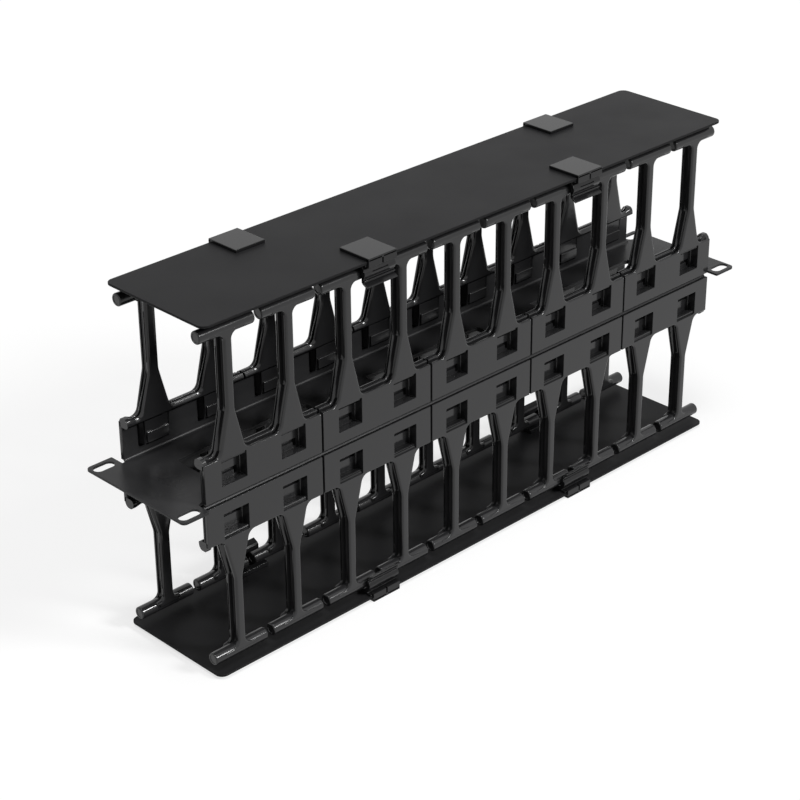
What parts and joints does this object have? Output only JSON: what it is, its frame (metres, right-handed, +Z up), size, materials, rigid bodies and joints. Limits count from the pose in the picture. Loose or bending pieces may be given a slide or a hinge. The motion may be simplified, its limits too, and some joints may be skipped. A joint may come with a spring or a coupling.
{
  "type": "horizontal cable manager",
  "caption": "Rack panel with a finger duct above and below it, each closed by a flat cover on clips that swings on the bars across the finger tips",
  "frame": {"origin": "centre of the panel, halfway between both covers", "axes": "X along the rack's width, Y from the front row of fingers to the rear row, Z up from the panel to the upper cover"},
  "size_m": [0.4826, 0.0882, 0.228],
  "materials": {
    "channel_steel": "black powder coat, fine texture",
    "module_plastic": "black moulded plastic, satin",
    "cover_steel": "black powder coat, fine texture",
    "clip_plastic": "black moulded plastic, satin"
  },
  "bodies": {
    "panel_and_fingers": {"upper_channel": "channel_steel", "lower_channel": "channel_steel", "upper_front_module_1": "module_plastic", "upper_front_module_2": "module_plastic", "upper_front_module_3": "module_plastic", "upper_front_module_4": "module_plastic", "upper_front_module_5": "module_plastic", "upper_rear_module_1": "module_plastic", "upper_rear_module_2": "module_plastic", "upper_rear_module_3": "module_plastic", "upper_rear_module_4": "module_plastic", "upper_rear_module_5": "module_plastic", "lower_front_module_1": "module_plastic", "lower_front_module_2": "module_plastic", "lower_front_module_3": "module_plastic", "lower_front_module_4": "module_plastic", "lower_front_module_5": "module_plastic", "lower_rear_module_1": "module_plastic", "lower_rear_module_2": "module_plastic", "lower_rear_module_3": "module_plastic", "lower_rear_module_4": "module_plastic", "lower_rear_module_5": "module_plastic"},
    "upper_lid": {"upper_cover": "cover_steel", "upper_front_left_clip": "clip_plastic", "upper_front_right_clip": "clip_plastic", "upper_rear_left_clip": "clip_plastic", "upper_rear_right_clip": "clip_plastic"},
    "lower_lid": {"lower_cover": "cover_steel", "lower_front_left_clip": "clip_plastic", "lower_front_right_clip": "clip_plastic", "lower_rear_left_clip": "clip_plastic", "lower_rear_right_clip": "clip_plastic"}
  },
  "joints": [
    {"name": "upper_cover_hinge", "type": "hinge", "parent": "panel_and_fingers", "child": "upper_lid", "pos_m": [0, 0.034, 0.1029], "axis": [-1, 0, 0], "range_deg": [0, 105]},
    {"name": "lower_cover_hinge", "type": "hinge", "parent": "panel_and_fingers", "child": "lower_lid", "pos_m": [0, 0.034, -0.1029], "axis": [1, 0, 0], "range_deg": [0, 105]}
  ]
}
